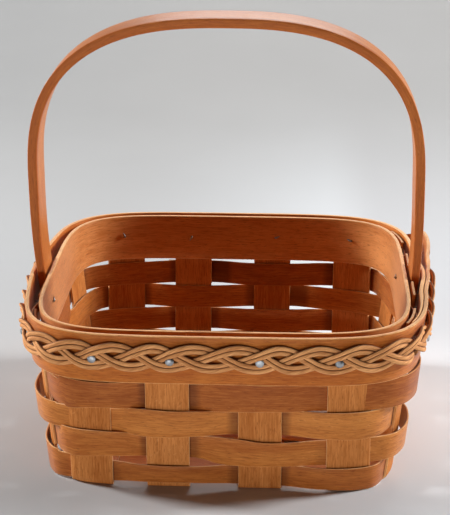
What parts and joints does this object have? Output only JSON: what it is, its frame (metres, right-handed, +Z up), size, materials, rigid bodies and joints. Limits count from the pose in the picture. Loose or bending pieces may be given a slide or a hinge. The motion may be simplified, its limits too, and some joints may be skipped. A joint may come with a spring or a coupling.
{
  "type": "woven splint basket",
  "caption": "Small square basket woven from wooden splints, with a fixed bentwood handle, wide rim bands, a cord braid round the rim and tacks through it.",
  "frame": {"origin": "on the surface the basket stands on, under the middle of its outline", "axes": "+X along the front to the right, +Y from the front to the back, +Z up; the handle arches over from -X to +X"},
  "size_m": [0.1644, 0.1586, 0.1652],
  "materials": {
    "splint_wood": "satin",
    "weaver_wood": "satin",
    "band_wood": "satin",
    "handle_wood": "satin",
    "braid_cord": "matte",
    "tack_steel": "satin"
  },
  "bodies": {
    "root": {"long_splint_1": "splint_wood", "long_splint_2": "splint_wood", "long_splint_3": "splint_wood", "long_splint_4": "splint_wood", "cross_splint_1": "splint_wood", "cross_splint_2": "splint_wood", "cross_splint_3": "splint_wood", "cross_splint_4": "splint_wood", "weaver_row_1": "weaver_wood", "weaver_row_2": "weaver_wood", "weaver_row_3": "weaver_wood", "weaver_row_4": "weaver_wood", "top_weaver": "weaver_wood", "outer_band": "band_wood", "inner_band": "band_wood", "handle": "handle_wood", "braid_ply_1": "braid_cord", "braid_ply_2": "braid_cord", "braid_ply_3": "braid_cord", "tack_01": "tack_steel", "tack_02": "tack_steel", "tack_03": "tack_steel", "tack_04": "tack_steel", "tack_05": "tack_steel", "tack_06": "tack_steel", "tack_07": "tack_steel", "tack_08": "tack_steel", "tack_09": "tack_steel", "tack_10": "tack_steel", "tack_11": "tack_steel", "tack_12": "tack_steel", "tack_13": "tack_steel", "tack_14": "tack_steel", "tack_15": "tack_steel", "tack_16": "tack_steel", "handle_tack_right": "tack_steel", "handle_tack_left": "tack_steel"}
  },
  "joints": []
}
